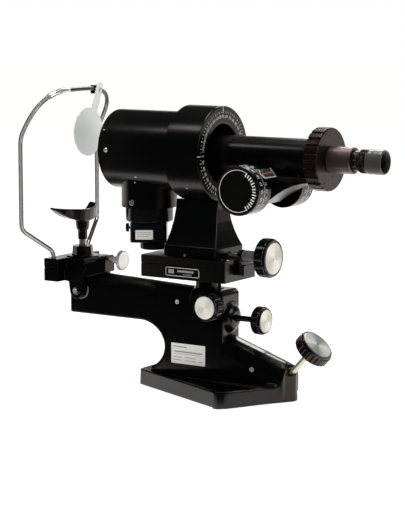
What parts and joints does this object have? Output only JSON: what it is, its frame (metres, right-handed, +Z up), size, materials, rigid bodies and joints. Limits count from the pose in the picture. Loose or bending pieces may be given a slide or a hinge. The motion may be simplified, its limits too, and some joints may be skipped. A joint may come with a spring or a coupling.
{
  "type": "keratometer",
  "caption": "Table keratometer: round optical head in an axis ring over a flared pedestal and focusing stage, with power drums, eyepiece, headrest and chin rest on a cast base.",
  "frame": {"origin": "on the table surface under the axis of the elevating post, on the lower face of the base's centre cover", "axes": "+X along the optical axis from the patient's side to the operator's eyepiece, +Y to the operator's right, +Z up"},
  "size_m": [0.5209, 0.1938, 0.4152],
  "materials": {
    "cast_base": "fine-textured satin black paint over cast iron",
    "black_paint": "satin black paint over cast aluminium",
    "black_anodised": "semi-gloss black anodised",
    "black_plastic": "semi-gloss moulded black",
    "silver": "radially brushed",
    "steel": "ground",
    "chrome": "polished",
    "zinc_plate": "yellow zinc plate",
    "rubber": "matt",
    "brown_anodised": "satin violet-brown anodised",
    "glass": "polished",
    "white_plastic": "satin"
  },
  "bodies": {
    "base": {"base_casting": "cast_base", "foot_pad_left": "rubber", "foot_pad_right": "rubber", "foot_pad_front": "rubber", "bore_cover": "rubber", "column_bush": "black_plastic", "chin_bracket": "black_paint", "bracket_pin": "silver", "bracket_lever": "black_paint", "headrest_frame": "chrome", "headrest_sleeve": "chrome", "occluder_clamp": "black_plastic"},
    "elevation_drive": {"elevation_pinion": "steel", "elevation_knob": "black_plastic", "elevation_knob_inlay": "silver"},
    "lock_clamp": {"lock_screw": "steel", "lock_knob": "black_plastic", "lock_knob_inlay": "silver"},
    "foot_clamp": {"foot_screw": "zinc_plate", "foot_knob": "black_plastic", "foot_knob_inlay": "silver"},
    "chin_rest": {"chin_stem": "steel", "chin_cup": "black_plastic"},
    "chin_nut": {"chin_nut": "black_plastic"},
    "chin_thumbscrew": {"chin_thumbscrew": "silver"},
    "occluder": {"occluder": "white_plastic"},
    "post": {"post_tube": "black_anodised", "post_rack": "steel"},
    "stage": {"stage_base": "black_paint", "stage_top": "black_paint", "focus_bearing": "black_paint"},
    "focus_drive": {"focus_screw": "steel", "focus_knob": "black_plastic", "focus_knob_inlay": "silver"},
    "saddle": {"pedestal": "black_paint", "axis_ring": "black_paint"},
    "optical_head": {"head_shell": "black_paint", "front_cover": "black_anodised", "mire_plate": "glass", "objective_lens": "glass", "diagonal_mirror": "chrome", "lamp_collar": "black_paint", "lamp_barrel": "black_anodised", "condenser_lens": "glass", "lamp_holder": "black_plastic", "lamp_cap": "black_plastic", "bulb": "glass", "telescope_tube": "black_paint", "drum_housing": "black_paint", "grip_disc": "black_anodised", "eyepiece_sleeve": "brown_anodised", "index_plate": "glass"},
    "lamp_thumbscrew": {"lamp_thumbscrew": "black_plastic"},
    "left_drum": {"power_drum_left": "black_anodised"},
    "right_drum": {"power_drum_right": "black_anodised"},
    "left_prism": {"prism_carriage_left": "glass"},
    "right_prism": {"prism_carriage_right": "glass"},
    "eyepiece": {"eyepiece_barrel": "black_anodised", "eye_lens": "glass", "eyecup": "rubber"}
  },
  "joints": [
    {"name": "post_lift", "type": "slide", "parent": "base", "child": "post", "axis": [0, 0, 1], "range_m": [-0.01, 0.03]},
    {"name": "elevation_turn", "type": "hinge", "parent": "base", "child": "elevation_drive", "pos_m": [0.0225, 0, 0.1238], "axis": [0, 1, 0], "range_deg": [-82.5, 246]},
    {"name": "swivel", "type": "hinge", "parent": "post", "child": "stage", "pos_m": [0, 0, 0.1576], "axis": [0, 0, 1], "range_deg": [-30, 30]},
    {"name": "lock_turn", "type": "hinge", "parent": "base", "child": "lock_clamp", "pos_m": [0.0916, 0, 0.1059], "axis": [1, 0, 0], "range_deg": [-90, 90]},
    {"name": "foot_clamp_turn", "type": "hinge", "parent": "base", "child": "foot_clamp", "pos_m": [0.1703, 0, 0.0824], "axis": [0.6759, 0, 0.7369], "range_deg": [-180, 180]},
    {"name": "focus_travel", "type": "slide", "parent": "stage", "child": "saddle", "axis": [1, 0, 0], "range_m": [-0.012, 0.012]},
    {"name": "focus_turn", "type": "hinge", "parent": "stage", "child": "focus_drive", "pos_m": [0.1031, 0, 0.1912], "axis": [1, 0, 0], "range_deg": [-433, 433]},
    {"name": "head_rotation", "type": "hinge", "parent": "saddle", "child": "optical_head", "pos_m": [0, 0, 0.3268], "axis": [1, 0, 0], "range_deg": [-90, 90]},
    {"name": "horizontal_drum_turn", "type": "hinge", "parent": "optical_head", "child": "left_drum", "pos_m": [0.09, -0.0725, 0.2865], "axis": [0, 1, 0], "range_deg": [-150, 150]},
    {"name": "vertical_drum_turn", "type": "hinge", "parent": "optical_head", "child": "right_drum", "pos_m": [0.09, 0.0725, 0.2865], "axis": [0, 1, 0], "range_deg": [-150, 150]},
    {"name": "left_prism_travel", "type": "slide", "parent": "optical_head", "child": "left_prism", "axis": [1, 0, 0], "range_m": [-0.0041, 0.0041]},
    {"name": "right_prism_travel", "type": "slide", "parent": "optical_head", "child": "right_prism", "axis": [1, 0, 0], "range_m": [-0.0041, 0.0041]},
    {"name": "diopter_turn", "type": "hinge", "parent": "optical_head", "child": "eyepiece", "pos_m": [0.2, 0, 0.3268], "axis": [1, 0, 0], "range_deg": [-180, 180]},
    {"name": "lamp_screw_turn", "type": "hinge", "parent": "optical_head", "child": "lamp_thumbscrew", "pos_m": [-0.11978, -0.01315, 0.219], "axis": [-0.866, -0.5, 0], "range_deg": [-180, 180]},
    {"name": "chin_lift", "type": "slide", "parent": "base", "child": "chin_rest", "axis": [0, 0, 1], "range_m": [-0.008, 0.03]},
    {"name": "chin_nut_turn", "type": "hinge", "parent": "base", "child": "chin_nut", "pos_m": [-0.212, 0, 0.178], "axis": [0, 0, 1], "range_deg": [-245, 905]},
    {"name": "chin_thumbscrew_turn", "type": "hinge", "parent": "base", "child": "chin_thumbscrew", "pos_m": [-0.1407, 0, 0.1695], "axis": [1, 0, 0], "range_deg": [-180, 180]},
    {"name": "occluder_swing", "type": "hinge", "parent": "base", "child": "occluder", "pos_m": [-0.2085, 0.039, 0.4042], "axis": [1, 0, 0], "range_deg": [-100, 100]}
  ],
  "couplings": [
    {"joint": "elevation_turn", "follows": "post_lift", "rad_per_m": 142.86},
    {"joint": "focus_turn", "follows": "focus_travel", "rad_per_m": 628.32},
    {"joint": "left_prism_travel", "follows": "horizontal_drum_turn", "m_per_rad": 0.001528},
    {"joint": "right_prism_travel", "follows": "vertical_drum_turn", "m_per_rad": 0.001528},
    {"joint": "chin_nut_turn", "follows": "chin_lift", "rad_per_m": 523.6}
  ]
}
